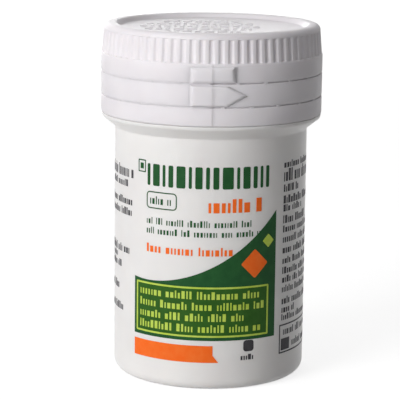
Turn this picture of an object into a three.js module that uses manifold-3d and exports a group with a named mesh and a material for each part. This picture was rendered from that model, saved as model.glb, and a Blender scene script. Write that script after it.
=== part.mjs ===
// Round plastic tub of tablets with a push-on cap, a tear-off strip and a locking ring.
// Millimetres, +Z up. Origin at the middle of the base, front towards -Y.
import * as THREE from 'three';
import { mergeVertices } from 'three/addons/utils/BufferGeometryUtils.js';
import Module from 'manifold-3d';

const wasm = await Module();
wasm.setup();

// Tub
const tubRadius = 17.0;
const tubWall = 1.3;
const baseThick = 1.4;
const baseRound = 1.9;
const shoulderHeight = 43.9;      // where the shoulder starts to flare
const shoulderReach = 2.3;
const shoulderLean = 50;          // slope of the flare, in degrees from upright
const shoulderRound = 0.6;        // at both ends of the flare
const neckInset = 0.3;            // the neck is this much slimmer than the tub
const beadStep = 0.6;             // how far the neck's two beads stand out
const beadTall = 1.2;
const capBeadDrop = 2.0;          // from the mouth down to the top bead

// Closure, from the shoulder up
const clearance = 0.3;            // between pieces, and the slits of the tear lines
const ringWall = 2.0;
const ribInset = 0.25;            // the ribs stand back from the ring's face
const ringTall = 3.1;
const ringRound = 0.3;
const ringHookTall = 1.0;
const stripTall = 3.75;
const stripWall = 1.1;
const bridgeCount = 24;           // along each tear line
const bridgeWide = 0.7;
const bridgeDeep = 0.5;
const upperBridge = -1.5;         // first bridge of each line, in degrees from the front
const lowerBridge = 6;
const capBandTall = 3.1;
const capTall = 8.2;
const capWallInner = 1.0;         // room between the neck and the cap's wall
const ribCount = 74;
const ribDepth = 0.6;
const ribShare = 0.5;             // crest share of one rib pitch
const ribTaper = 0.3;
const rimRound = 1.1;
const rimWide = 3.25;             // from the rib crests in to the sunk top
const recessDepth = 0.8;
const discThick = 1.2;
const plugWall = 0.9;
const plugTall = 4.4;

// Thumb lug on the cap's band and arrow tab on the strip, in degrees from the front
const lugFrom = -12.1;
const lugTo = 13.9;
const lugProud = 0.7;
const lugTall = 2.75;
const lugSlope = 3;
const arrowFrom = -11.5;
const arrowNeck = 9.1;
const arrowTip = 18.0;
const arrowProud = 0.6;
const arrowTall = 3.5;
const arrowSlope = 1;

// Tablets
const tabletRoom = 0.52;          // between the tablets and the tub's wall
const tabletTall = 4.0;
const tabletBevel = 0.6;
const tabletLayers = 6;
const tabletsPerLayer = 4;

// Facets
const tubSides = 48;
const capSides = ribCount;
const tabletSides = 18;
const roundSteps = 4;
const patchSteps = 5;
const mergeGap = 1e-4;

// Heights worked out from the sizes above
const leanAngle = THREE.MathUtils.degToRad(shoulderLean);
const shoulderSlope = shoulderReach - 2 * shoulderRound * (1 - Math.cos(leanAngle));
const shoulderBends = 2 * shoulderRound * Math.sin(leanAngle);
const shoulderTop = shoulderHeight + shoulderBends + shoulderSlope / Math.tan(leanAngle);
const ringBottom = shoulderTop + clearance;
const ringTop = ringBottom + ringTall;
const stripBottom = ringTop + clearance;
const stripTop = stripBottom + stripTall;
const capBottom = stripTop + clearance;
const capTop = capBottom + capTall;
const bandTop = capBottom + capBandTall;
const recessFloor = capTop - recessDepth;
const discUnder = recessFloor - discThick;
const mouth = discUnder - clearance;

// Radii worked out from the sizes above, from the tub outwards
const tubInner = tubRadius - tubWall;
const neckRadius = tubRadius - neckInset;
const boreRadius = neckRadius - tubWall;
const beadRadius = neckRadius + beadStep;
const capInner = neckRadius + capWallInner;
const ringInner = beadRadius + clearance;
const ringRadius = ringInner + ringWall;
const shoulderRadius = tubRadius + shoulderReach;
const ribCrest = ringRadius - ribInset;
const recessRadius = ribCrest - rimWide;

// Tablets stand in a ring whose middles lie this many tablet widths out, and fill the tub
const ringSpread = 1 / Math.sin(Math.PI / tabletsPerLayer);
const pileRadius = tubInner - tabletRoom;
const tabletRadius = (pileRadius - (ringSpread * clearance) / 2) / (1 + ringSpread);

const colours = { white: 0xeeeae6, tablet: 0xf6f4ee };

function plastic(color, roughness) {
  return new THREE.MeshStandardMaterial({ color, roughness, metalness: 0 });
}

const polar = (radius, degrees) => {
  const a = THREE.MathUtils.degToRad(degrees - 90);
  return new THREE.Vector2(radius * Math.cos(a), radius * Math.sin(a));
};

// Points of a quarter round, from one angle to another
function arc(cx, cy, radius, from, to) {
  return Array.from({ length: roundSteps + 1 }, (_, i) => {
    const a = THREE.MathUtils.degToRad(from + ((to - from) * i) / roundSteps);
    return [cx + radius * Math.cos(a), cy + radius * Math.sin(a)];
  });
}

// A turned body: pairs of radius and height, listed anticlockwise
function turned(profile, sides) {
  const points = profile.map(([r, z]) => new THREE.Vector2(r, z));
  return new THREE.LatheGeometry(points, sides).rotateX(Math.PI / 2);
}

// A flat outline raised from one height to another
function raised(points, from, to) {
  const shape = new THREE.Shape(points);
  const depth = to - from;
  return new THREE.ExtrudeGeometry(shape, { depth, bevelEnabled: false }).translate(0, 0, from);
}

function solid(geometry) {
  const bare = geometry.clone();
  bare.deleteAttribute('normal');
  bare.deleteAttribute('uv');
  const merged = mergeVertices(bare, mergeGap);
  const flat = merged.index.array;
  const kept = [];
  for (let i = 0; i < flat.length; i += 3) {
    const [a, b, c] = flat.slice(i, i + 3);
    if (a !== b && b !== c && a !== c) kept.push(a, b, c);
  }
  return new wasm.Manifold(new wasm.Mesh({
    numProp: 3,
    vertProperties: merged.attributes.position.array,
    triVerts: new Uint32Array(kept),
  }));
}

function geometryOf(body) {
  const mesh = body.getMesh();
  const geometry = new THREE.BufferGeometry();
  geometry.setAttribute('position', new THREE.BufferAttribute(new Float32Array(mesh.vertProperties), 3));
  geometry.setIndex(new THREE.BufferAttribute(new Uint32Array(mesh.triVerts), 1));
  geometry.computeVertexNormals();
  return geometry;
}

// A closed ring's profile ends where it starts
const closed = (profile) => [...profile, profile[0]];

function bead(middle) {
  const half = beadTall / 2;
  return [
    [neckRadius, middle - half], [beadRadius, middle - half / 2],
    [beadRadius, middle + half / 2], [neckRadius, middle + half],
  ];
}

// Tub: shell with a shoulder flared outwards, a neck with two beads, and an open mouth
const ringBead = ringBottom + ringHookTall + clearance + beadTall / 2;
const capBead = mouth - capBeadDrop;

function tub() {
  return turned([
    [0, 0],
    ...arc(tubRadius - baseRound, baseRound, baseRound, -90, 0),
    ...arc(tubRadius + shoulderRound, shoulderHeight, shoulderRound, 180, 180 - shoulderLean),
    ...arc(shoulderRadius - shoulderRound, shoulderTop, shoulderRound, -shoulderLean, 0),
    [neckRadius, shoulderTop],
    ...bead(ringBead),
    ...bead(capBead),
    [neckRadius, mouth - clearance],
    [neckRadius - clearance, mouth],
    [boreRadius, mouth],
    [boreRadius, shoulderTop],
    [tubInner, shoulderHeight],
    [tubInner, baseThick + clearance],
    [tubInner - clearance, baseThick],
    [0, baseThick],
  ], tubSides);
}

// Locking ring: an inner hook sits under the neck's lower bead
function lockRing() {
  const hook = neckRadius + clearance;
  return turned(closed([
    [hook, ringBottom],
    ...arc(ringRadius - ringRound, ringBottom + ringRound, ringRound, -90, 0),
    [ringRadius, ringTop], [ringInner, ringTop],
    [ringInner, ringBottom + ringHookTall], [hook, ringBottom + ringHookTall],
  ]), tubSides);
}

// A patch on the outside of the closure: corners in degrees and height, with its own face
function patch(corners, rootRadius, faceRadius, slope) {
  const middle = corners.reduce((sum, [deg]) => sum + deg, 0) / corners.length;
  const positions = [];
  const ring = (radius, inset) => corners.forEach(([deg, z]) => {
    const p = polar(radius, deg + Math.sign(middle - deg) * inset);
    positions.push(p.x, p.y, z);
  });
  ring(rootRadius, 0);
  ring(faceRadius, slope);
  const n = corners.length;
  const faces = [];
  for (let i = 0; i < n; i++) {
    const j = (i + 1) % n;
    faces.push(i, j, n + j, i, n + j, n + i);
  }
  const flat = THREE.ShapeUtils.triangulateShape(corners.map(([d, z]) => new THREE.Vector2(d, z)), []);
  flat.forEach(([a, b, c]) => faces.push(n + a, n + b, n + c, c, b, a));
  const geometry = new THREE.BufferGeometry();
  geometry.setAttribute('position', new THREE.BufferAttribute(new Float32Array(positions), 3));
  geometry.setIndex(faces);
  return geometry;
}

// Evenly spaced corners along one edge, so that a patch follows the round wall
function edge(from, to, z) {
  return Array.from({ length: patchSteps + 1 }, (_, i) => [from + ((to - from) * i) / patchSteps, z]);
}

function bridges(from, to, turn) {
  const outer = ringRadius - clearance;
  const box = new THREE.BoxGeometry(bridgeWide, bridgeDeep, to - from);
  box.translate(0, -(outer - bridgeDeep / 2), (from + to) / 2);
  return Array.from({ length: bridgeCount }, (_, i) => {
    const angle = turn + (i * 360) / bridgeCount;
    return solid(box.clone().rotateZ(THREE.MathUtils.degToRad(angle)));
  });
}

// Tear strip: a thin band with a raised arrow tab, held above and below by small bridges
function tearStrip() {
  const inner = ringRadius - stripWall;
  const middle = (stripBottom + stripTop) / 2;
  const low = middle - arrowTall / 2;
  const high = middle + arrowTall / 2;
  let body = solid(turned(closed([
    [inner, stripBottom], [ringRadius, stripBottom], [ringRadius, stripTop], [inner, stripTop],
  ]), tubSides));
  const arrow = [...edge(arrowFrom, arrowNeck, low), [arrowTip, middle], ...edge(arrowNeck, arrowFrom, high)];
  body = body.add(solid(patch(arrow, ringRadius - stripWall / 2, ringRadius + arrowProud, arrowSlope)));
  const sink = clearance / 2;
  bridges(stripTop - sink, capBottom, upperBridge).forEach((bridge) => { body = body.add(bridge); });
  bridges(ringTop, stripBottom + sink, lowerBridge).forEach((bridge) => { body = body.add(bridge); });
  return geometryOf(body);
}

function ribOutline() {
  const pitch = 360 / ribCount;
  const half = (pitch * ribShare) / 2;
  const rest = pitch / 2 - half;
  const valley = ribCrest - ribDepth;
  return Array.from({ length: ribCount }, (_, i) => {
    const at = (i + 0.5) * pitch;
    return [
      polar(valley, at - half - rest / 2), polar(ribCrest, at - half),
      polar(ribCrest, at + half), polar(valley, at + half + rest / 2),
    ];
  }).flat();
}

// Cap: ribbed grip over a plain band, a sunk top inside a rounded rim, and a plug seal inside
function cap() {
  const rimTop = ribCrest - ribTaper;
  const rimMiddle = rimTop - rimRound;
  const capBeadRadius = beadRadius + clearance;
  const shell = solid(turned([
    [0, discUnder],
    [capInner, discUnder],
    [capInner, capBead - beadTall],
    [capBeadRadius, capBead - beadTall / 2 - clearance],
    [capBeadRadius, capBead - beadTall - clearance],
    [capInner, capBead - 2 * beadTall],
    [capInner, capBottom],
    [ringRadius, capBottom],
    [ringRadius, bandTop],
    [ribCrest, bandTop],
    ...arc(rimMiddle, capTop - rimRound, rimRound, 0, 90),
    [recessRadius + recessDepth / 2, capTop],
    [recessRadius, recessFloor],
    [0, recessFloor],
  ], capSides));
  const grip = solid(raised(ribOutline(), capBottom - clearance, capTop + clearance));
  const band = solid(turned([
    [0, capBottom], [ringRadius, capBottom], [ringRadius, bandTop], [0, bandTop],
  ], capSides));
  const plugOuter = boreRadius - clearance;
  const plugTop = discUnder + discThick / 2;
  const plugBottom = discUnder - plugTall;
  const plug = solid(turned(closed([
    [plugOuter - plugWall, plugBottom], [plugOuter, plugBottom],
    [plugOuter, plugTop], [plugOuter - plugWall, plugTop],
  ]), tubSides));
  const lug = [...edge(lugFrom, lugTo, capBottom), ...edge(lugTo, lugFrom, capBottom + lugTall)];
  const proud = solid(patch(lug, ringRadius - clearance, ringRadius + lugProud, lugSlope));
  return geometryOf(shell.intersect(grip.add(band)).add(plug).add(proud));
}

function tablet() {
  const face = tabletRadius - tabletBevel;
  return turned([
    [0, 0], [face, 0], [tabletRadius, tabletBevel], [tabletRadius, tabletTall - tabletBevel],
    [face, tabletTall], [0, tabletTall],
  ], tabletSides);
}

const group = new THREE.Group();

function add(name, geometry, material) {
  const mesh = new THREE.Mesh(geometry, material);
  mesh.name = name;
  group.add(mesh);
  return mesh;
}

add('tub', tub(), plastic(colours.white, 0.35));
add('lock_ring', lockRing(), plastic(colours.white, 0.4));
add('tear_strip', tearStrip(), plastic(colours.white, 0.4));
add('cap', cap(), plastic(colours.white, 0.4));

// Layers of tablets, each layer turned so that a tablet rests on two below it
const seat = tabletRadius + clearance / 2;
const layerTurn = 360 / tabletsPerLayer;
for (let i = 0; i < tabletLayers * tabletsPerLayer; i++) {
  const layer = Math.floor(i / tabletsPerLayer);
  const angle = (i % tabletsPerLayer) * layerTurn + (layer % 2) * (layerTurn / 2);
  const at = polar(seat * ringSpread, angle);
  const name = `tablet_${String(i + 1).padStart(2, '0')}`;
  const piece = add(name, tablet(), plastic(colours.tablet, 0.7));
  piece.position.set(at.x, at.y, baseThick + clearance + layer * (tabletTall + clearance));
}

export default group;
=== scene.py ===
import math
import random

import bmesh
import bpy
from mathutils import Matrix, Vector


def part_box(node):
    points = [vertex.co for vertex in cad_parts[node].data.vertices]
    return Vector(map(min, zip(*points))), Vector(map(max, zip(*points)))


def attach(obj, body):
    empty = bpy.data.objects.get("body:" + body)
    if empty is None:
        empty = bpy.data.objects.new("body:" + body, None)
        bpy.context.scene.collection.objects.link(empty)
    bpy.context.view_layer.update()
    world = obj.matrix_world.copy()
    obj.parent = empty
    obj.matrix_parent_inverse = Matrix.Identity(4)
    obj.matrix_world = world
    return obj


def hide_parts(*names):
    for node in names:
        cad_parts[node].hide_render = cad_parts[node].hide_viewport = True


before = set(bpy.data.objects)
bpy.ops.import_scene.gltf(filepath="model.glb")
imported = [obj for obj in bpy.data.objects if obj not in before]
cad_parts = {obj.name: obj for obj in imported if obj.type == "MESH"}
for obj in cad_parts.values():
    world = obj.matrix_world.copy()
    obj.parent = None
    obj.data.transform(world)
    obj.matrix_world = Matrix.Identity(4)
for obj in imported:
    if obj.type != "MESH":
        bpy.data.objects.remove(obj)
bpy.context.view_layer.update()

mm = 0.001
frontTurn = -math.pi / 2     # the front of the tub faces -Y
print("frame loaded:", len(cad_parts), "nodes")

# Camera: a short telephoto a little above the cap, turned a touch on its own axis
camera = {"distance": 349.0, "height": 98.3, "pitch": 10.994, "roll": 0.74,
          "focalPixels": 1988.0, "picture": 400, "axisPixel": 210.0, "sensor": 36.0, "clip": (0.01, 20)}


def placeCamera():
    cam = bpy.data.objects.new("camera", bpy.data.cameras.new("camera"))
    bpy.context.scene.collection.objects.link(cam)
    cam.data.sensor_width = camera["sensor"]
    cam.data.lens = camera["focalPixels"] / camera["picture"] * camera["sensor"]
    cam.data.shift_x = (camera["picture"] / 2 - camera["axisPixel"]) / camera["picture"]
    cam.data.clip_start, cam.data.clip_end = camera["clip"]
    place = Matrix.Translation((0, -camera["distance"] * mm, camera["height"] * mm))
    tilt = Matrix.Rotation(math.radians(90 - camera["pitch"]), 4, "X")
    roll = Matrix.Rotation(math.radians(camera["roll"]), 4, "Z")
    cam.matrix_world = place @ tilt @ roll
    bpy.context.scene.camera = cam


placeCamera()


# Shader maths: a socket that can be added, subtracted and multiplied
class Wire:
    def __init__(self, graph, socket):
        self.graph, self.socket = graph, socket

    def maths(self, operation, *values, clamp=False):
        settings = {"operation": operation, "use_clamp": clamp}
        return self.graph.node("ShaderNodeMath", settings, dict(enumerate(values)))

    def __add__(self, other): return self.maths("ADD", self, other)
    def __radd__(self, other): return self.maths("ADD", other, self)
    def __sub__(self, other): return self.maths("SUBTRACT", self, other)
    def __rsub__(self, other): return self.maths("SUBTRACT", other, self)
    def __mul__(self, other): return self.maths("MULTIPLY", self, other)
    def __rmul__(self, other): return self.maths("MULTIPLY", other, self)


class Graph:
    def __init__(self, owner):
        self.owner = owner      # a material or the world
        owner.use_nodes = True
        self.tree = owner.node_tree
        self.tree.nodes.clear()

    def node(self, kind, settings=None, sockets=None, out=0):
        made = self.tree.nodes.new(kind)
        for key, value in (settings or {}).items():
            setattr(made, key, value)
        for key, value in (sockets or {}).items():
            if isinstance(value, Wire):
                self.tree.links.new(value.socket, made.inputs[key])
            else:
                made.inputs[key].default_value = value
        return Wire(self, made.outputs[out]) if made.outputs else None

    def place(self):
        return self.node("ShaderNodeTexCoord", out="Object")

    def noise(self, size, detail=3.0, roughness=0.5):
        return self.node("ShaderNodeTexNoise", None,
                         {"Vector": self.place(), "Scale": 1 / (size * mm),
                          "Detail": detail, "Roughness": roughness})

    def ramp(self, value, low, high):
        return self.node("ShaderNodeMapRange", None,
                         {"Value": value, "From Min": low, "From Max": high})

    def blend(self, amount, first, second):
        return self.node("ShaderNodeMix", {"data_type": "RGBA"},
                         {0: amount, 6: first, 7: second}, out=2)

    def bump(self, height, depth, under=None):
        sockets = {"Height": height, "Distance": depth * mm, "Strength": 1.0}
        if under:
            sockets["Normal"] = under
        return self.node("ShaderNodeBump", None, sockets)

    def finish(self, **sockets):
        shader = self.node("ShaderNodeBsdfPrincipled", None,
                           {key.replace("_", " "): value for key, value in sockets.items()})
        self.node("ShaderNodeOutputMaterial", None, {"Surface": shader})
        return self.owner


def paint(code):
    # a screen colour as the linear one that a shader takes
    channels = [int(code[i:i + 2], 16) / 255 for i in (1, 3, 5)]
    linear = [c / 12.92 if c <= 0.04045 else ((c + 0.055) / 1.055) ** 2.4 for c in channels]
    return *linear, 1.0


# Mesh helpers
sharpAngle = 30
largeCorner = 0.5       # corners rounded further than this get more steps
mergeReach = 1e-7       # in metres, like the next two
cutReach = 1e-8         # a cut takes the corners that lie this near to it
onLine = 1e-6           # nearer than this to a line counts as on it


def newPiece(name, bm, material, body, nodes=()):
    mesh = bpy.data.meshes.new(name)
    bm.to_mesh(mesh)
    bm.free()
    mesh.shade_smooth()
    mesh.set_sharp_from_angle(angle=math.radians(sharpAngle))
    piece = bpy.data.objects.new(name, mesh)
    bpy.context.scene.collection.objects.link(piece)
    mesh.materials.append(material)
    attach(piece, body)
    if nodes:
        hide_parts(*nodes)


def roundOff(bm, geom, offset, affect, segments):
    bmesh.ops.bevel(bm, geom=geom, offset=offset * mm, offset_type="OFFSET", affect=affect,
                    segments=segments, profile=0.5, material=-1)


def cutAcross(bm, place, normal):
    geom = bm.verts[:] + bm.edges[:] + bm.faces[:]
    bmesh.ops.bisect_plane(bm, geom=geom, dist=cutReach, plane_co=place, plane_no=normal)


def moveOut(vert, distance):
    # away from the tub's axis, in millimetres
    factor = 1 + distance * mm / math.hypot(vert.co.x, vert.co.y)
    vert.co.x, vert.co.y = vert.co.x * factor, vert.co.y * factor


def block(size, middle):
    # a plain block by its size and its middle, in millimetres
    bm = bmesh.new()
    stretch = Matrix.Diagonal([c * mm for c in size] + [1])
    bmesh.ops.create_cube(bm, size=1, matrix=Matrix.Translation([c * mm for c in middle]) @ stretch)
    return bm


def spinProfile(points, steps):
    # each point is a radius, a height and how far its corner is rounded
    bm = bmesh.new()
    verts = [bm.verts.new((r * mm, 0, z * mm)) for r, z, _ in points]
    edges = [bm.edges.new(pair) for pair in zip(verts, verts[1:])]
    if points[0][0] > 0:
        edges.append(bm.edges.new((verts[-1], verts[0])))
    for vert, (_, _, corner) in zip(verts, points):
        if corner:
            roundOff(bm, [vert], corner, "VERTICES", 6 if corner > largeCorner else 3)
    bmesh.ops.spin(bm, geom=bm.verts[:] + bm.edges[:], cent=(0, 0, 0), axis=(0, 0, 1), angle=math.tau,
                   steps=steps, use_merge=True, use_duplicate=False)
    bmesh.ops.remove_doubles(bm, verts=bm.verts[:], dist=mergeReach)
    bmesh.ops.recalc_face_normals(bm, faces=bm.faces[:])
    return bm


def wrapRound(bm, radius, step):
    # a flat drawing, with x along the wall and -y outwards, cut every few degrees and bent round the axis
    width = math.radians(step) * radius
    low = min(v.co.x for v in bm.verts)
    high = max(v.co.x for v in bm.verts)
    for i in range(math.ceil(low / width), math.floor(high / width) + 1):
        cutAcross(bm, (i * width, 0, 0), (1, 0, 0))
    for v in bm.verts:
        out, turn = radius - v.co.y, v.co.x / radius + frontTurn
        v.co = (out * math.cos(turn), out * math.sin(turn), v.co.z)


def joinInto(target, source):
    mesh = bpy.data.meshes.new("part")
    source.to_mesh(mesh)
    source.free()
    target.from_mesh(mesh)
    bpy.data.meshes.remove(mesh)


patchRoot = 0.4         # how deep a raised patch starts inside its wall
patchCuts = 2.5


def raisedPatch(outline, radius, proud, edge, flank):
    # outline in degrees from the front and heights in millimetres; the ends slope in by the flank
    bm = bmesh.new()
    root = (radius - patchRoot) * mm
    verts = [bm.verts.new((math.radians(a) * root, 0, z * mm)) for a, z in outline]
    face = bm.faces.new(verts)
    top = bmesh.ops.extrude_face_region(bm, geom=[face])["geom"]
    moved = [v for v in top if isinstance(v, bmesh.types.BMVert)]
    bmesh.ops.translate(bm, verts=moved, vec=(0, -(proud + patchRoot) * mm, 0))
    middle = sum(v.co.x for v in moved) / len(moved)
    for v in moved:
        v.co.x -= math.copysign(flank * mm, v.co.x - middle)
    rim = [e for e in bm.edges if all(v in moved for v in e.verts)]
    roundOff(bm, rim, edge, "EDGES", 4)
    wrapRound(bm, root, patchCuts)
    bmesh.ops.recalc_face_normals(bm, faces=bm.faces[:])
    return bm


# Finishes: sizes in millimetres
plasticMarks = {"cloud": 9.0, "scuff": 3.2, "scuffRough": 0.10, "grainRough": 0.06}
plasticBody = {"IOR": 1.5, "Subsurface_Weight": 0.3, "Subsurface_Scale": 1.0,
               "Subsurface_Radius": (1.2 * mm, 1.1 * mm, 1.0 * mm)}
inkMarks = {"mottle": 1.6, "patch": 0.8, "grain": 0.25, "grainDepth": 0.004, "rough": 0.30,
            "roughSpread": 0.12, "gloss": 0.1}
powderMarks = {"speck": 0.35, "grain": 0.18, "grainDepth": 0.03, "wave": 1.4, "waveDepth": 0.05,
               "rough": 0.7, "roughSpread": 0.15, "colour": "#F6F4EE", "shade": "#E4E0D6"}


def mouldedPlastic(name, colour, shade, roughness, gloss, grain):
    g = Graph(bpy.data.materials.new(name))
    cloud = g.ramp(g.noise(plasticMarks["cloud"], 2.0), 0.3, 0.7)
    fine = g.noise(grain["size"], 4.0, 0.6)
    tone = g.blend(cloud, paint(colour), paint(shade))
    scuff = g.ramp(g.noise(plasticMarks["scuff"], 5.0, 0.65), 0.52, 0.75)
    rough = roughness + plasticMarks["scuffRough"] * scuff + plasticMarks["grainRough"] * fine
    wave = g.noise(grain["wave"], 2.0)
    normal = g.bump(fine, grain["depth"], g.bump(wave, grain["waveDepth"]))
    return g.finish(Base_Color=tone, Roughness=rough, Normal=normal, Specular_IOR_Level=gloss, **plasticBody)


def ink(name, colour, shade):
    g = Graph(bpy.data.materials.new(name))
    mottle = g.ramp(g.noise(inkMarks["mottle"], 4.0, 0.6), 0.35, 0.7)
    tone = g.blend(mottle, paint(colour), paint(shade))
    rough = inkMarks["rough"] + inkMarks["roughSpread"] * g.noise(inkMarks["patch"])
    normal = g.bump(g.noise(inkMarks["grain"], 3.0), inkMarks["grainDepth"])
    return g.finish(Base_Color=tone, Roughness=rough, Normal=normal, IOR=1.5,
                    Specular_IOR_Level=inkMarks["gloss"])


def pressedPowder(name):
    g = Graph(bpy.data.materials.new(name))
    speck = g.ramp(g.noise(powderMarks["speck"], 4.0, 0.7), 0.55, 0.72)
    tone = g.blend(speck, paint(powderMarks["colour"]), paint(powderMarks["shade"]))
    rough = powderMarks["rough"] + powderMarks["roughSpread"] * speck
    wave = g.bump(g.noise(powderMarks["wave"]), powderMarks["waveDepth"])
    normal = g.bump(g.noise(powderMarks["grain"], 4.0, 0.7), powderMarks["grainDepth"], wave)
    return g.finish(Base_Color=tone, Roughness=rough, Normal=normal, IOR=1.45)


tubPlastic = mouldedPlastic("tub_plastic", "#F1EFED", "#ECE9E8", 0.28, 0.26,
                            {"size": 0.35, "depth": 0.006, "wave": 7.0, "waveDepth": 0.05})
capPlastic = mouldedPlastic("cap_plastic", "#F0ECEF", "#E9E4E8", 0.4, 0.18,
                            {"size": 0.22, "depth": 0.012, "wave": 4.0, "waveDepth": 0.03})
inks = {
    "green": ink("ink_green", "#1F4F2A", "#27592F"),
    "orange": ink("ink_orange", "#FA6C22", "#FB7832"),
    "lime": ink("ink_lime", "#B9D24E", "#C6DB66"),
    "leaf": ink("ink_leaf", "#2C571B", "#346222"),
    "grey": ink("ink_grey", "#3E3C40", "#4A484C"),
}
print("finishes made")


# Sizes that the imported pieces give, in millimetres
def span(node):
    low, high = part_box(node)
    return [c / mm for c in low], [c / mm for c in high]


ringLow, ringHigh = span("lock_ring")
capLow, capHigh = span("cap")
tubHigh = span("tub")[1]
closureRadius = ringHigh[0]
slit, slitShown = 0.3, 0.2      # the tear lines as cut, and as they show
lip = (slit - slitShown) / 2
stripBottom, stripTop = ringHigh[2] + slit - lip, capLow[2] - slit + lip

# Tub
tub = {"radius": 17.0, "wall": 1.3, "baseRound": 1.9, "baseThick": 1.4, "flare": (44.18, 46.11),
       "flareReach": 2.4, "flareCorner": 0.28, "lipGap": 0.05, "lipEdge": 0.05,
       "neck": 16.7, "neckFoot": 0.2, "beadStep": 0.6, "beadTall": 1.2, "beadFoot": 0.1, "beadEdge": 0.25,
       "ringBead": 1.9, "mouthBead": 2.0, "mouthEdge": 0.3, "innerRound": 0.5, "floorRound": 1.0,
       "steps": 144}


def beadPoints(middle):
    half, out = tub["beadTall"] / 2, tub["neck"] + tub["beadStep"]
    foot, edge = tub["beadFoot"], tub["beadEdge"]
    return [(tub["neck"], middle - half, foot), (out, middle - half / 2, edge),
            (out, middle + half / 2, edge), (tub["neck"], middle + half, foot)]


def makeTub():
    inner, bore, mouth = tub["radius"] - tub["wall"], tub["neck"] - tub["wall"], tubHigh[2]
    (low, under), high = tub["flare"], ringLow[2] - tub["lipGap"]
    outer, corner = tub["radius"] + tub["flareReach"], tub["flareCorner"]
    points = [(0, 0, 0), (tub["radius"], 0, tub["baseRound"]), (tub["radius"], low, corner),
              (outer, under, corner), (outer, high, tub["lipEdge"]),
              (tub["neck"], high, tub["neckFoot"]),
              *beadPoints(ringLow[2] + tub["ringBead"]), *beadPoints(mouth - tub["mouthBead"]),
              (tub["neck"], mouth, tub["mouthEdge"]), (bore, mouth, tub["mouthEdge"]),
              (bore, high, tub["mouthEdge"]), (inner, low, tub["innerRound"]),
              (inner, tub["baseThick"], tub["floorRound"]), (0, tub["baseThick"], 0)]
    bm = spinProfile(points, tub["steps"])
    newPiece("tub_shell", bm, tubPlastic, "tub_body", ["tub"])


makeTub()
print("tub made")

# Closure pieces share the mould's parting line: one half sits a little deeper than the other
mouldStep = {"at": 0.6, "wide": 0.5, "deep": 0.1, "cuts": (8, 16), "fade": 24.0}


def stepWall(bm, wallRadius):
    half = mouldStep["wide"] / 2
    for behind in (-half, half, *mouldStep["cuts"], mouldStep["fade"]):
        angle = math.radians(mouldStep["at"] - behind)
        cutAcross(bm, (0, 0, 0), (math.cos(angle), math.sin(angle), 0))
    for v in bm.verts:
        if math.hypot(v.co.x, v.co.y) < wallRadius * mm:
            continue
        turn = math.degrees(math.atan2(v.co.y, v.co.x) - frontTurn) - mouldStep["at"]
        behind = -((turn + 90) % 180 - 90)          # the line is there at the back as well
        rise = min(1, max(0, behind / mouldStep["wide"] + 0.5))
        fade = min(1, max(0, 1 - behind / mouldStep["fade"])) ** 2
        moveOut(v, -mouldStep["deep"] * (1 - rise * fade))


lockRing = {"hook": 17.0, "hookTall": 1.0, "hookEdge": 0.2, "inner": 17.6, "round": 0.3, "edge": 0.15,
            "innerEdge": 0.1, "stepFrom": 0.05, "steps": 144}


def makeLockRing():
    low, high, hookTop = ringLow[2], ringHigh[2] + lip, ringLow[2] + lockRing["hookTall"]
    edge, innerEdge = lockRing["edge"], lockRing["innerEdge"]
    bm = spinProfile([(lockRing["hook"], low, edge), (closureRadius, low, lockRing["round"]),
                      (closureRadius, high, edge), (lockRing["inner"], high, innerEdge),
                      (lockRing["inner"], hookTop, innerEdge),
                      (lockRing["hook"], hookTop, lockRing["hookEdge"])], lockRing["steps"])
    stepWall(bm, closureRadius - lockRing["round"] - lockRing["stepFrom"])
    newPiece("lock_ring_band", bm, capPlastic, "tub_body", ["lock_ring"])


makeLockRing()

tearStrip = {"wall": 1.1, "steps": 144, "innerEdge": 0.1, "outerEdge": 0.18, "stepFrom": 0.1,
             "bridges": 24, "bridgeWide": 0.6, "bridgeDeep": 0.5, "bridgeSunk": 0.05, "lean": 0.1,
             "skin": 0.3, "skinSunk": (0.15, 0.4), "skinTurn": 0.1,
             "arrow": (-12.9, 10.3, 19.6), "arrowTall": 3.5, "arrowProud": 0.5, "arrowEdge": 0.4,
             "arrowFlank": 1.1}


def addBridges(bm, low, high, turn):
    wide, deep = tearStrip["bridgeWide"], tearStrip["bridgeDeep"]
    out = closureRadius - tearStrip["bridgeSunk"] - deep / 2
    for i in range(tearStrip["bridges"]):
        part = block((wide, deep, high - low), (0, -out, (low + high) / 2))
        angle = math.radians(turn + i * 360 / tearStrip["bridges"])
        bmesh.ops.rotate(part, verts=part.verts[:], cent=(0, 0, 0), matrix=Matrix.Rotation(angle, 3, "Z"))
        joinInto(bm, part)


def tearSkin(low, high):
    # the thin wall left standing at the bottom of a tear line, cut deeper by one mould half
    shallow, deep = tearStrip["skinSunk"]
    outer = closureRadius - deep
    inner = outer - tearStrip["skin"]
    bm = spinProfile([(inner, low, 0), (outer, low, 0), (outer, high, 0), (inner, high, 0)],
                     tearStrip["steps"])
    for v in bm.verts:
        if v.co.x < -tearStrip["skinTurn"] * mm:
            moveOut(v, deep - shallow)
    return bm


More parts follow.
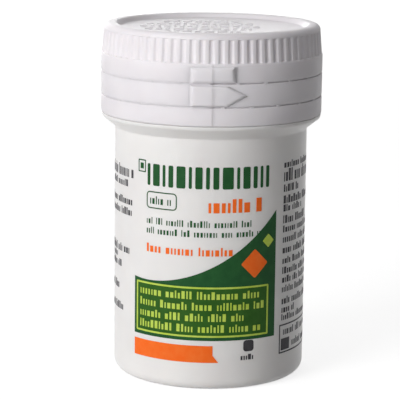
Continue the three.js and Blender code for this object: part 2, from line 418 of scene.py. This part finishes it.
def makeTearStrip():
    inner = closureRadius - tearStrip["wall"]
    innerEdge, outerEdge = tearStrip["innerEdge"], tearStrip["outerEdge"]
    bm = spinProfile([(inner, stripBottom, innerEdge), (closureRadius, stripBottom, outerEdge),
                      (closureRadius, stripTop, outerEdge), (inner, stripTop, innerEdge)],
                     tearStrip["steps"])
    middle, half = (stripBottom + stripTop) / 2, tearStrip["arrowTall"] / 2
    start, neck, tip = tearStrip["arrow"]
    outline = [(start, middle - half), (neck, middle - half), (tip, middle), (neck, middle + half),
               (start, middle + half)]
    joinInto(bm, raisedPatch(outline, closureRadius, tearStrip["arrowProud"], tearStrip["arrowEdge"],
                             tearStrip["arrowFlank"]))
    pitch, sink = 360 / tearStrip["bridges"], slit / 2
    for low, high in ((stripTop - sink, capLow[2] - lip), (ringHigh[2] + lip, stripBottom + sink)):
        joinInto(bm, tearSkin(low, high))
    addBridges(bm, stripTop - sink, capLow[2], -pitch * tearStrip["lean"])
    addBridges(bm, ringHigh[2], stripBottom + sink, pitch / 2 - pitch * tearStrip["lean"])
    stepWall(bm, closureRadius - tearStrip["skinSunk"][1] - tearStrip["stepFrom"])
    newPiece("tear_strip_band", bm, capPlastic, "tub_body", ["tear_strip"])


makeTearStrip()
print("ring and strip made")

cap = {"bandTall": 3.1, "crest": 19.35, "taper": 0.3, "ribs": 74, "ribSteps": 12, "ribDepth": 0.26,
       "ribFloor": 0.14, "ribWall": 0.17, "ribTop": 1.0, "ribEnd": 0.12, "ribReach": 1.0,
       "bandStep": 0.08, "rimRound": 1.1,
       "recess": 16.1, "recessWall": 0.7, "recessEdge": 0.4, "recessFoot": 0.25, "recessDepth": 0.8,
       "disc": 1.2, "inner": 17.7, "innerFoot": 0.15, "bandEdge": 0.18, "bandTopEdge": 0.2,
       "plugOuter": 15.1, "plugWall": 0.9, "plugTall": 4.4, "plugEdge": 0.2, "plugLead": 0.4,
       "beadRadius": 17.6, "beadDrops": (0.9, 1.2, 1.8),
       "lug": (-13.9, 15.7), "lugLow": 0.05, "lugTall": 2.75, "lugProud": 0.6, "lugEdge": 0.7,
       "lugFlank": 1.5,
       "markTall": 1.7, "markProud": 0.2, "markWide": (0.5, 1.3), "markGap": 0.55, "markShift": -2.2,
       "markEdge": 0.1, "markSeed": 11, "stepFrom": 0.1,
       "markRows": [{"y": 8.5, "half": 6.5}, {"y": 4.2, "half": 9.5}, {"y": 0.0, "half": 10.5},
                    {"y": -4.2, "half": 9.5}, {"y": -8.5, "half": 6.5}]}


def cutRibs(bm, low, high):
    # flat-bottomed grooves with steep walls, closed above by the rim
    pitch = math.tau / cap["ribs"]
    for v in bm.verts:
        radius, z = math.hypot(v.co.x, v.co.y) / mm, v.co.z / mm
        if not low < z < high or radius < cap["crest"] - cap["ribReach"]:
            continue
        phase = (math.atan2(v.co.y, v.co.x) - frontTurn) / pitch
        away = abs(phase - round(phase))
        groove = min(1, max(0, (cap["ribFloor"] + cap["ribWall"] - away) / cap["ribWall"]))
        moveOut(v, -cap["ribDepth"] * groove)


def addTopMarks(bm, floor):
    # rows of short raised bars on the sunk top
    draw = random.Random(cap["markSeed"])
    narrowest, spread = cap["markWide"]
    for row in cap["markRows"]:
        at = -row["half"]
        while at < row["half"]:
            width = narrowest + draw.random() * spread
            part = block((width, cap["markTall"], 2 * cap["markProud"]),
                         (at + width / 2 + cap["markShift"], row["y"], floor))
            top = [e for e in part.edges if all(v.co.z > floor * mm for v in e.verts)]
            roundOff(part, top, cap["markEdge"], "EDGES", 2)
            joinInto(bm, part)
            at += width + cap["markGap"]


def capProfile(low, bandTop, floor, top):
    # from the middle of the disc's underside round the plug, the wall and the rim to the sunk top
    under, plugIn, plugOut = floor - cap["disc"], cap["plugOuter"] - cap["plugWall"], cap["plugOuter"]
    plugLow, edge, step, end = under - cap["plugTall"], cap["plugEdge"], cap["bandStep"], cap["ribEnd"]
    bead, rimTop = tubHigh[2] - tub["mouthBead"], cap["crest"] - cap["taper"]
    above, fullest, below = (bead - drop for drop in cap["beadDrops"])
    return [(0, under, 0), (plugIn, under, edge), (plugIn, plugLow, edge),
            (plugOut, plugLow, cap["plugLead"]), (plugOut, under, edge),
            (cap["inner"], under, edge), (cap["inner"], above, 0),
            (cap["beadRadius"], fullest, 0), (cap["inner"], below, 0), (cap["inner"], low, cap["innerFoot"]),
            (closureRadius, low, cap["bandEdge"]), (closureRadius, bandTop, cap["bandTopEdge"]),
            (cap["crest"], bandTop + step, 0), (cap["crest"], bandTop + 2 * step, 0),
            (rimTop, top - cap["ribTop"] - end, 0), (rimTop, top - cap["ribTop"], 0),
            (rimTop, top, cap["rimRound"] - end),
            (cap["recess"] + cap["recessWall"], top, cap["recessEdge"]),
            (cap["recess"], floor, cap["recessFoot"]), (0, floor, 0)]


def makeCap():
    low, top = capLow[2] - lip, capHigh[2]
    bandTop, floor = capLow[2] + cap["bandTall"], top - cap["recessDepth"]
    bm = spinProfile(capProfile(low, bandTop, floor, top), cap["ribs"] * cap["ribSteps"])
    cutRibs(bm, bandTop + cap["ribEnd"], top - cap["ribTop"] - cap["ribEnd"] / 2)
    start, end = cap["lug"]
    lugLow, lugHigh = low + cap["lugLow"], low + cap["lugTall"]
    outline = [(start, lugLow), (end, lugLow), (end, lugHigh), (start, lugHigh)]
    joinInto(bm, raisedPatch(outline, closureRadius, cap["lugProud"], cap["lugEdge"], cap["lugFlank"]))
    stepWall(bm, cap["crest"] + cap["stepFrom"])
    addTopMarks(bm, floor)
    newPiece("cap_moulding", bm, capPlastic, "cap_body", ["cap"])


makeCap()
print("cap made")

# Tablets
tablet = {"steps": 64, "bevel": 0.6, "faceEdge": 0.1, "sideEdge": 0.2, "score": 0.35, "scoreDeep": 0.25,
          "scoreReach": 0.4}


def makeTablet(node, material):
    low, high = span(node)
    middle = [(a + b) / 2 for a, b in zip(low, high)]
    radius, half = (high[1] - low[1]) / 2, (high[2] - low[2]) / 2
    flat, shoulder = radius - tablet["bevel"], half - tablet["bevel"]
    face, side = tablet["faceEdge"], tablet["sideEdge"]
    bm = spinProfile([(0, -half, 0), (flat, -half, face), (radius, -shoulder, side),
                      (radius, shoulder, side), (flat, half, face), (0, half, 0)], tablet["steps"])
    for turn in (-1, 0, 1):
        cutAcross(bm, (turn * tablet["score"] * mm, 0, 0), (1, 0, 0))
    for v in bm.verts:
        if abs(v.co.x) < onLine and v.co.z > (half - tablet["scoreReach"]) * mm:
            v.co.z -= tablet["scoreDeep"] * mm
    bmesh.ops.translate(bm, verts=bm.verts[:], vec=[c * mm for c in middle])
    newPiece(node + "_pressed", bm, material, "tub_body", [node])


powder = pressedPowder("tablet_powder")
for tabletNode in sorted(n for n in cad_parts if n.startswith("tablet_")):
    makeTablet(tabletNode, powder)
print("tablets made")

# Print on the tub: plain bars, boxes and fields of ink, angles in degrees from the front
inkFilm = {"lift": 0.02, "thick": 0.04, "layer": 0.015, "cuts": 3.0}


def inkSheet(name, colour, shapes, layer=0):
    # each shape is an outline of (angle, height), how far its corners are rounded, and the width of its
    # line, or 0 for a filled shape
    bm = bmesh.new()
    radius = (tub["radius"] + inkFilm["lift"] + layer * inkFilm["layer"]) * mm
    for outline, corner, line in shapes:
        old = set(bm.faces)
        verts = [bm.verts.new((math.radians(a) * radius, 0, z * mm)) for a, z in outline]
        bm.faces.new(verts)
        if corner:
            roundOff(bm, verts, corner, "VERTICES", 4)
        if line:
            bm.normal_update()
            made = [f for f in bm.faces if f not in old]
            bmesh.ops.inset_region(bm, faces=made, thickness=line * mm, use_boundary=True,
                                   use_even_offset=True)
            bmesh.ops.delete(bm, geom=made, context="FACES")
    wrapRound(bm, radius, inkFilm["cuts"])
    for face in bm.faces:
        face.normal_update()
        outward = face.calc_center_median()
        if face.normal.x * outward.x + face.normal.y * outward.y < 0:
            face.normal_flip()
    bmesh.ops.solidify(bm, geom=bm.faces[:], thickness=inkFilm["thick"] * mm)
    bmesh.ops.recalc_face_normals(bm, faces=bm.faces[:])
    newPiece(name, bm, inks[colour], "tub_body")


def box(left, right, low, high, corner=0.0, line=0.0):
    return [(left, low), (right, low), (right, high), (left, high)], corner, line


def tickRow(draw, left, right, middle, tall, thick, gap, group=(3, 8)):
    # a row of plain upright ticks in groups; thick and gap in degrees
    ticks, at = [], left
    while at < right - thick:
        for _ in range(draw.randint(*group)):
            wide = thick * draw.choice(tick["widths"])
            if at + wide > right:
                break
            low = middle - tall / 2
            ticks.append(box(at, at + wide, low, low + tall * draw.choice(tick["heights"])))
            at += wide + gap
        at += gap * tick["groupGap"]
    return ticks


def wideBlocks():
    # a row of tall upright blocks
    made, at = [], blocks["left"]
    for wide in blocks["widths"]:
        made.append(box(at, at + wide, blocks["low"], blocks["high"], blocks["corner"]))
        at += wide + blocks["gap"]
    return made


tick = {"widths": (0.7, 1.0, 1.6), "heights": (0.72, 0.72, 1.0), "groupGap": 2.2, "seed": 7}
field = {"left": -49.3, "right": 42.4, "bottom": 9.0, "topLeft": 18.6, "topRight": 31.4, "bend": 2.3,
         "startLift": 0.55, "startFade": 7, "points": 30}
panel = {"left": -47.4, "right": 37.2, "low": 9.6, "high": 18.5, "line": 0.32, "corner": 0.2,
         "rows": ((17.0, 35.5), (15.05, 34.0), (13.1, 21.5), (11.15, 32.0)), "tall": 1.35, "inset": 3.2}
blocks = {"left": -39.2, "low": 35.6, "high": 39.4, "gap": 2.0, "corner": 0.25,
          "widths": (2.0, 4.6, 1.8, 3.0, 5.4, 1.8, 4.2, 2.2, 3.4, 6.4, 1.8, 4.4, 2.6, 1.8, 2.2)}
band = [(-49.2, 5.1), (6.0, 5.1), (2.6, 6.4), (2.6, 8.1), (-49.2, 8.1)]
boxes = {  # left, right, low, high, rounding of the corners, width of the line
    "square": (-46.6, -40.6, 37.7, 39.9, 0.15, 0.2), "squareFill": (-44.9, -42.3, 38.3, 39.3),
    "pill": (-39.8, -19.4, 31.6, 34.6, 0.7, 0.2), "foot": (21.0, 27.6, 6.9, 8.9, 0.5),
    "side": (46.8, 112.0, 5.4, 10.6, 0.0, 0.25), "sideFill": (48.6, 57.0, 5.9, 8.0),
}
diamonds = {"orange": (27.5, 22.4, 2.6, 0.3), "lime": (36.6, 26.2, 1.2, 0.15)}
rows = {  # left, right, middle height, height of the ticks, their width, the gap, ticks in a group
    "pill": [(-37.2, -22.0, 33.1, 1.4, 1.0, 0.9)],
    "green": [(-39.6, 26.0, 29.5, 1.15, 0.8, 0.85), (-39.6, 31.0, 27.8, 1.15, 0.8, 0.85)],
    "orange": [(-0.8, 33.0, 32.7, 2.4, 2.2, 1.3, (7, 7)), (-39.4, 14.4, 24.7, 1.5, 1.4, 1.1, (4, 8))],
    "side": [(50.5, 106.0, 9.3, 1.3, 1.0, 0.9), (60.0, 100.0, 6.9, 1.3, 1.0, 0.9)],
    "foot": [(19.4, 29.2, 5.9, 1.0, 1.2, 0.6, (8, 8))],
}
panelTick = {"wide": 1.2, "gap": 1.0, "group": (4, 10)}
sideTick = {"wide": 1.25, "gap": 0.8, "right": 48.6, "left": -54.0}
sideRows = {  # middle height, height of the ticks, degrees from the near edge to the start and to the end
    "right": ((39.1, 1.2, 0, 40), (37.2, 2.2, 0, 54), (34.9, 1.3, 0, 18), (32.9, 1.4, 0, 60),
              (31.4, 1.2, 0, 24), (29.4, 1.4, 0, 30), (27.7, 1.2, 0, 56), (25.9, 1.3, 0, 60),
              (24.0, 1.3, 0, 54), (22.1, 1.2, 0, 60), (20.3, 1.2, 0, 52), (18.7, 1.2, 0, 60),
              (17.0, 1.2, 0, 58), (14.9, 1.3, 0, 44), (13.3, 1.2, 0, 14), (11.9, 1.1, 0, 48)),
    "left": ((37.2, 2.0, -3, 46), (35.1, 1.2, 3, 30), (32.0, 1.3, -2, 36), (30.1, 1.3, -2, 40),
             (23.3, 1.4, 0, 54), (21.9, 1.1, 17, 44), (20.4, 1.2, 10, 48), (16.4, 1.4, 14, 46),
             (12.7, 1.3, 6, 42)),
}


def tickRows(draw, name):
    return [shape for row in rows[name] for shape in tickRow(draw, *row)]


def fieldOutline():
    width = field["right"] - field["left"]
    rise = field["topRight"] - field["topLeft"]
    steps = [i / field["points"] for i in range(field["points"] + 1)]
    top = [(field["left"] + t * width, field["topLeft"] + rise * t ** field["bend"]
            + field["startLift"] * (1 - t) ** field["startFade"]) for t in reversed(steps)]
    return [(field["left"], field["bottom"]), (field["right"], field["bottom"])] + top


def diamond(angle, middle, half, corner):
    side = math.degrees(half / tub["radius"])
    outline = [(angle, middle - half), (angle + side, middle),
               (angle, middle + half), (angle - side, middle)]
    return outline, corner, 0


def limeShapes(draw, frameBox):
    shapes = [box(*frameBox, panel["corner"], panel["line"])]
    for row, end in panel["rows"]:
        shapes += tickRow(draw, panel["left"] + panel["inset"], end, row, panel["tall"], panelTick["wide"],
                          panelTick["gap"], panelTick["group"])
    return shapes + [diamond(*diamonds["lime"])]


def sideShapes(draw):
    shapes, wide, gap = [], sideTick["wide"], sideTick["gap"]
    for height, tall, start, end in sideRows["right"]:
        shapes += tickRow(draw, sideTick["right"] + start, sideTick["right"] + end, height, tall, wide, gap)
    for height, tall, start, end in sideRows["left"]:
        shapes += tickRow(draw, sideTick["left"] - end, sideTick["left"] - start, height, tall, wide, gap)
    return shapes


def makePrint():
    draw = random.Random(tick["seed"])
    green = [(fieldOutline(), 0.0, 0.0), *wideBlocks(), box(*boxes["square"]), box(*boxes["squareFill"]),
             box(*boxes["pill"]), *tickRows(draw, "pill"), *tickRows(draw, "green")]
    inkSheet("print_green", "green", green)
    orange = [(band, 0.0, 0.0), *tickRows(draw, "orange"), diamond(*diamonds["orange"])]
    inkSheet("print_orange", "orange", orange, 1)
    frameBox = [panel[side] for side in ("left", "right", "low", "high")]
    inkSheet("print_panel", "leaf", [box(*frameBox)], 1)
    inkSheet("print_lime", "lime", limeShapes(draw, frameBox), 2)
    grey = [box(*boxes["side"]), box(*boxes["sideFill"]), *tickRows(draw, "side"), *sideShapes(draw),
            box(*boxes["foot"]), *tickRows(draw, "foot")]
    inkSheet("print_grey", "grey", grey)


makePrint()
print("print made")


# Stage: floor, world and lamps
stage = {"floor": 3.0, "aim": 32, "glow": 0.80, "floorPaint": 0.42, "bounce": 0.6, "world": 0.135}
lamps = [
    {"name": "key", "azimuth": -44, "height": 17, "distance": 0.8, "size": 0.45, "power": 4.9},
    {"name": "top", "azimuth": -20, "height": 82, "distance": 0.7, "size": 0.5, "power": 0.8},
    {"name": "back", "azimuth": -165, "height": 10, "distance": 0.8, "size": 0.5, "power": 2.0},
]


def seenBy(g):
    # 1 where the camera sees the ground itself, in a shiny surface or through a clear one
    kinds = ("Is Camera Ray", "Is Glossy Ray", "Is Transmission Ray")
    camera, glossy, clear = (g.node("ShaderNodeLightPath", out=kind) for kind in kinds)
    return camera.maths("ADD", camera, camera.maths("ADD", glossy, clear), clamp=True)


def makeFloor():
    bm = bmesh.new()
    bmesh.ops.create_grid(bm, x_segments=2, y_segments=2, size=stage["floor"] / 2)
    mesh = bpy.data.meshes.new("floor")
    bm.to_mesh(mesh)
    bm.free()
    floor = bpy.data.objects.new("floor", mesh)
    bpy.context.scene.collection.objects.link(floor)
    g = Graph(bpy.data.materials.new("floor_paper"))
    rays = seenBy(g)
    level = stage["floorPaint"]
    seen = g.node("ShaderNodeBsdfDiffuse", None, {"Color": (level, level, level, 1)})
    glow = g.node("ShaderNodeEmission", None, {"Color": (1, 1, 1, 1), "Strength": stage["glow"]})
    both = g.node("ShaderNodeAddShader", None, {0: seen, 1: glow})
    bounce = stage["bounce"]
    plain = g.node("ShaderNodeBsdfDiffuse", None, {"Color": (bounce, bounce, bounce, 1)})
    mixed = g.node("ShaderNodeMixShader", None, {0: rays, 1: plain, 2: both})
    g.node("ShaderNodeOutputMaterial", None, {"Surface": mixed})
    mesh.materials.append(g.owner)


def makeWorld():
    world = bpy.data.worlds.new("studio")
    bpy.context.scene.world = world
    g = Graph(world)
    strength = stage["world"] + (1 - stage["world"]) * seenBy(g)
    sky = g.node("ShaderNodeBackground", None, {"Color": (1, 1, 1, 1), "Strength": strength})
    g.node("ShaderNodeOutputWorld", None, {"Surface": sky})


def makeLamps():
    target = Vector((0, 0, stage["aim"] * mm))
    for lamp in lamps:
        data = bpy.data.lights.new(lamp["name"], "AREA")
        data.shape, data.size, data.energy = "DISK", lamp["size"], lamp["power"]
        light = bpy.data.objects.new(lamp["name"], data)
        bpy.context.scene.collection.objects.link(light)
        turn, lift = math.radians(lamp["azimuth"]) + frontTurn, math.radians(lamp["height"])
        away = Vector((math.cos(turn) * math.cos(lift), math.sin(turn) * math.cos(lift), math.sin(lift)))
        light.location = target + away * lamp["distance"]
        light.rotation_euler = (-away).to_track_quat("-Z", "Y").to_euler()


makeFloor()
makeWorld()
makeLamps()
bpy.context.scene.view_settings.view_transform = "Standard"
print("stage made")
